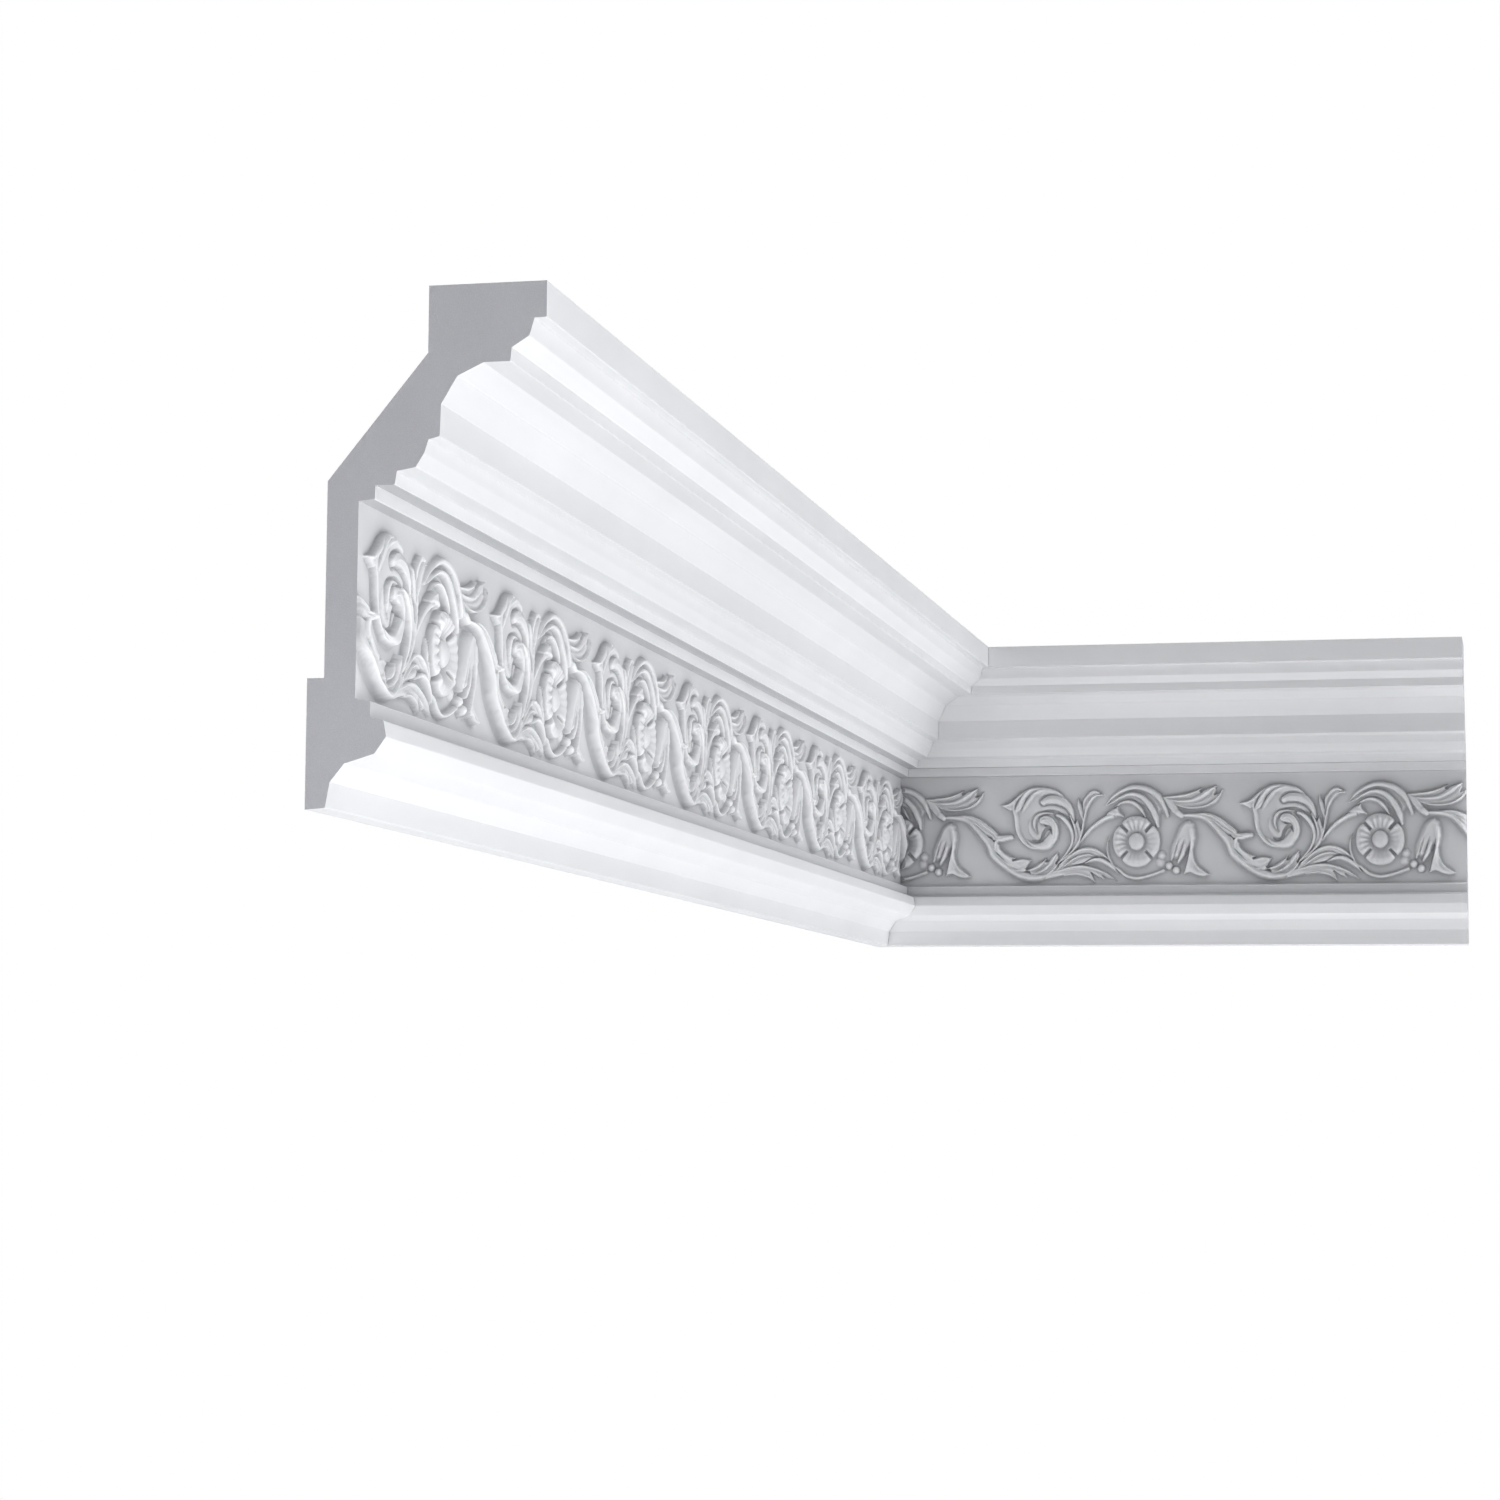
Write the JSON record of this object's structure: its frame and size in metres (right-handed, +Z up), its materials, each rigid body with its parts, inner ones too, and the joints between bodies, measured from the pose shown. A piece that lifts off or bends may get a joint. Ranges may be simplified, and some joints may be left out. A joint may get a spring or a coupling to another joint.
{
  "type": "cornice moulding",
  "caption": "White cornice moulding round an inside corner, mitred, with a stepped and coved section over a frieze of running acanthus scrolls, rosettes and bellflowers.",
  "frame": {"origin": "middle of the left length's wall pad, the flat strip at the foot of its back that is fixed to the wall", "axes": "+X out from the left wall into the room, +Y along the left wall to the corner, where the back length turns off along +X, +Z up"},
  "size_m": [0.362, 1.049, 0.1771],
  "materials": {
    "primed_foam": "hard moulded polyurethane foam with a smooth white primer; the square cut ends show bare light grey foam"
  },
  "bodies": {
    "root": {"left_wall_length": "primed_foam", "back_wall_length": "primed_foam"}
  },
  "joints": []
}
